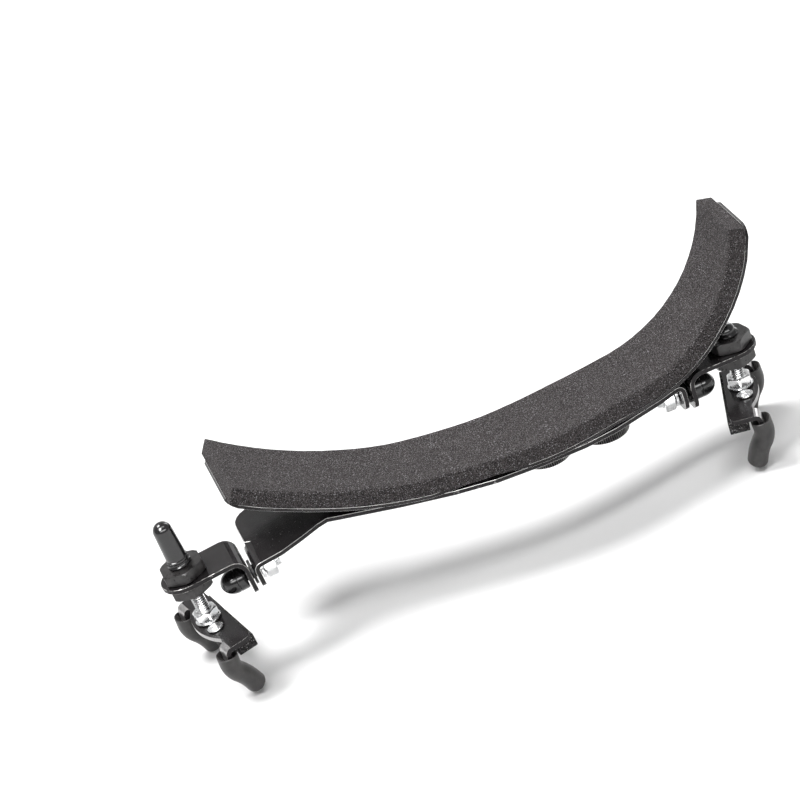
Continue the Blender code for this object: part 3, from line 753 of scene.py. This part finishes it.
def build_height_adjuster(name):
    """The two big hexagonal hand nuts and the cap that covers the screw's tip."""
    _, y, z = end_axes(name)
    x = y.cross(z)
    plate_piece(f"{name}_bracket")
    for place in ("lower", "upper"):
        node = f"{name}_{place}_hand_nut"
        origin = Vector(JOINTS[f"{name}_{place}_nut_turn"]["pos_m"])
        matrix = axes_matrix(origin, x, y, z)
        low, high = extent(node, origin, z)
        turn = UPPER_NUT_TURN[name] if place == "upper" else 0.0
        add_piece(node, hex_nut(HAND_FLATS, low, high, BORE_R, 0.4, 0.55),
                  matrix @ Matrix.Rotation(math.radians(turn), 4, "Z"), crease=20)
    node = f"{name}_screw_cap"
    low, high = extent(node, origin, z)
    r = radius(node, origin, z) - 0.4
    shank = THREAD_R + 0.35
    dome = min(r, high - low - 1.2)
    base = high - dome
    profile = [(shank, high - 1.5), (shank, low), (r + 0.3, low), (r + 0.4, low + 0.1),
               (r + 0.4, low + 0.5), (r + 0.3, low + 0.6)]
    if base - low > LONG_CAP:
        for ring in (1, 2):
            h = low + 0.6 + ring * CAP_COLLAR
            profile += [(r, h - 0.35), (r, h - 0.2), (r + 0.3, h - 0.05), (r + 0.3, h + 0.2),
                        (r, h + 0.35)]
    profile += dome_rows(base, r, dome)

    def widened(px, pz):
        return px + max(0.0, CAP_TAPER * (base - pz) / (base - low)) if px > shank else px

    add_piece(node, turned([(widened(px, pz), pz) for px, pz in profile]), matrix)


def build_foot(name):
    """The height screw, lock nut, fork, pad, rivet and sleeves of one end."""
    out, along, z = fork_axes(name)
    origin = Vector(JOINTS[f"{name}_fork_swivel"]["pos_m"])
    matrix = axes_matrix(origin, out, along, z)

    node = f"{name}_height_screw"
    low, high = extent(node, origin, z)
    head = low + SCREW_HEAD
    head_r = radius(node, origin, z)
    rings = [ring_of(r, h, THREAD_SIDES) for r, h in ((head_r - 0.3, low), (head_r, low + 0.3),
             (head_r, head - 0.2), (head_r - 0.2, head), (THREAD_R - 0.2, head))]
    add_piece(node, loft(rings + threaded_rings(head + 0.2, high)), matrix)

    node = f"{name}_lock_nut"
    low, high = extent(node, origin, z)
    add_piece(node, hex_nut(SMALL_FLATS - 0.2, low, high, BORE_R, 0.5, 0.75, flange=0.5), matrix)

    def on_prong_or_arc(point, broad):
        place = matrix.inverted() @ point / MM
        across = min(abs(place.y - root) for root in PRONG_ROOTS.values())
        on_prong = across < PRONG_WIDTH / 2 + 0.1
        between = PRONG_ROOTS["near"] < place.y < PRONG_ROOTS["far"] and not on_prong
        return place.x > FORK_ROOT + 0.1 and (on_prong if broad else between)

    plate_piece(f"{name}_fork", is_bare=on_prong_or_arc)
    foam_piece(f"{name}_foot_pad", 0.9, 0.05)

    node = f"{name}_pad_rivet"
    reaches = [extent(node, origin, direction) for direction in (out, along)]
    spot = origin + (out * sum(reaches[0]) / 2 + along * sum(reaches[1]) / 2) * MM
    low, high = extent(node, spot, z)
    head_r = radius(node, spot, z)
    profile = [(1.3, low), (1.3, high - 0.5), (head_r - 0.1, high - 0.5), (head_r, high - 0.4),
               (head_r, high - 0.2), (head_r - 0.25, high - 0.02), (head_r - 0.8, high),
               (0.9, high), (0.7, high - 0.15), (0.2, high - 0.2)]
    add_piece(node, turned(profile, sides=48), axes_matrix(spot, out, along, z))

    for place, v in PRONG_ROOTS.items():
        spot = origin + (out * FORK_ROOT + along * v) * MM
        add_piece(f"{name}_sleeve_{place}", sleeve_bm(), axes_matrix(spot, out, along, z),
                  crease=60)


def build_all():
    plate_piece("base_plate", "bright_line", 0.32)
    build_bar()
    for name in ENDS:
        build_tilt_joint(name)
        build_height_adjuster(name)
        build_foot(name)


# ---------------------------------------------------------------- stage

def build_floor():
    """A pale sweep: flat under the object, curving up far behind it."""
    bm = bmesh.new()
    bend = FLOOR_BACK - FLOOR_RISE
    profile = [(-FLOOR_HALF, 0.0), (bend, 0.0)]
    for degrees in range(10, 91, 10):
        angle = math.radians(degrees)
        profile.append((bend + FLOOR_RISE * math.sin(angle),
                        FLOOR_RISE - FLOOR_RISE * math.cos(angle)))
    profile.append((FLOOR_BACK, FLOOR_WALL_TOP))
    rows = [[bm.verts.new((x, y, z - FLOOR_DROP)) for y, z in profile]
            for x in (-FLOOR_HALF, FLOOR_HALF)]
    for i in range(len(profile) - 1):
        bm.faces.new((rows[0][i], rows[1][i], rows[1][i + 1], rows[0][i + 1]))
    mesh = bpy.data.meshes.new("floor")
    bm.to_mesh(mesh)
    bm.free()
    mesh.shade_smooth()
    mesh.materials.append(floor_look())
    floor = bpy.data.objects.new("floor", mesh)
    bpy.context.collection.objects.link(floor)


def add_light(name, at, size, power, only_glints):
    """A rectangular panel that faces the object."""
    light = bpy.data.lights.new(name, "AREA")
    light.shape = "RECTANGLE"
    light.size, light.size_y = size
    light.energy = power
    obj = bpy.data.objects.new(name, light)
    bpy.context.collection.objects.link(obj)
    obj.location = at
    aim = Vector(LIGHT_TARGET) - Vector(at)
    obj.rotation_euler = aim.to_track_quat("-Z", "Y").to_euler()
    obj.visible_diffuse = not only_glints


def build_camera_and_lights():
    camera = bpy.data.cameras.new("camera")
    camera.lens = CAMERA_LENS
    camera.sensor_width = 36
    camera.clip_start = 0.01
    obj = bpy.data.objects.new("camera", camera)
    bpy.context.collection.objects.link(obj)
    turn = (Matrix.Rotation(math.radians(-CAMERA_AZIMUTH), 4, "Z")
            @ Matrix.Rotation(math.radians(90 - CAMERA_ELEVATION), 4, "X")
            @ Matrix.Rotation(math.radians(CAMERA_ROLL), 4, "Z"))
    obj.matrix_world = Matrix.Translation(CAMERA_AT) @ turn
    bpy.context.scene.camera = obj
    world = bpy.data.worlds.new("studio")
    world.use_nodes = True
    world.node_tree.nodes["Background"].inputs["Color"].default_value = (1.0, 1.0, 1.0, 1.0)
    world.node_tree.nodes["Background"].inputs["Strength"].default_value = WORLD_STRENGTH
    bpy.context.scene.world = world
    bpy.context.scene.view_settings.view_transform = "Standard"
    sky = bpy.data.lights.new("sky panel", "SUN")
    sky.energy = SKY_PANEL
    sky.angle = math.radians(SKY_PANEL_ANGLE)
    obj = bpy.data.objects.new("sky panel", sky)
    bpy.context.collection.objects.link(obj)
    obj.rotation_euler = (-Vector(SKY_PANEL_FROM)).to_track_quat("-Z", "Y").to_euler()
    for light in LIGHTS:
        add_light(*light)


build_all()
build_floor()
build_camera_and_lights()
